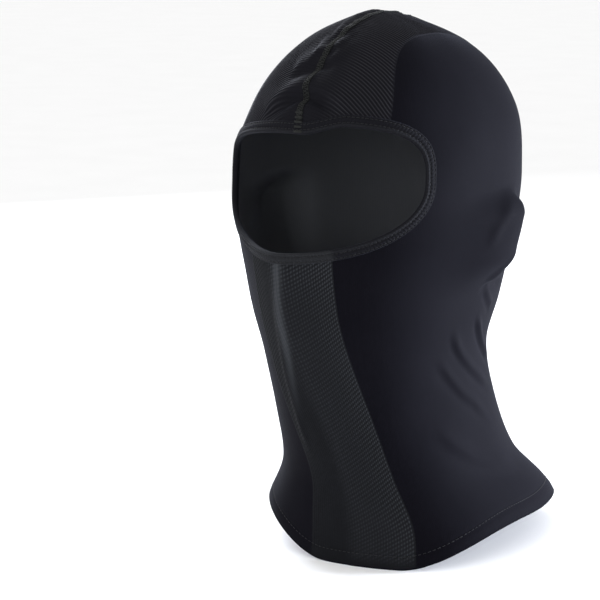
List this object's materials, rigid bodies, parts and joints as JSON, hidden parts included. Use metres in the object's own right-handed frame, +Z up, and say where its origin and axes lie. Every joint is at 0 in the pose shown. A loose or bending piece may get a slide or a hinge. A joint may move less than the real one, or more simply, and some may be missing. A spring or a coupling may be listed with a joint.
{
  "type": "balaclava",
  "caption": "Close-fitting stretch-knit balaclava with a wide oval face opening, a mesh front panel, a flat seam over the crown and a flared neck.",
  "frame": {"origin": "middle of the neck opening, on the plane that the front and back of the hem stand on", "axes": "+Z up through the crown, -Y the way the wearer faces, +X the wearer's left"},
  "size_m": [0.174, 0.2419, 0.3209],
  "materials": {
    "jersey": "fine smooth stretch jersey, matt with a soft sheen",
    "rib_knit": "fine diagonal rib knit, matt",
    "mesh_knit": "open dotted mesh knit, matt charcoal",
    "binding_knit": "folded stretch binding, matt",
    "thread": "spun polyester sewing thread",
    "elastic": "covered elastic cord",
    "label": "blank woven satin tape"
  },
  "bodies": {
    "root": {"left_side_panel": "jersey", "right_side_panel": "jersey", "left_rib_panel": "rib_knit", "right_rib_panel": "rib_knit", "front_mesh_panel": "mesh_knit", "face_binding": "binding_knit", "face_elastic": "elastic", "binding_stitches": "thread", "centre_seam": "thread", "seam_stitches": "thread", "front_bartack": "thread", "back_bartack": "thread", "hem_band": "jersey", "hem_stitches": "thread", "care_label": "label"}
  },
  "joints": []
}
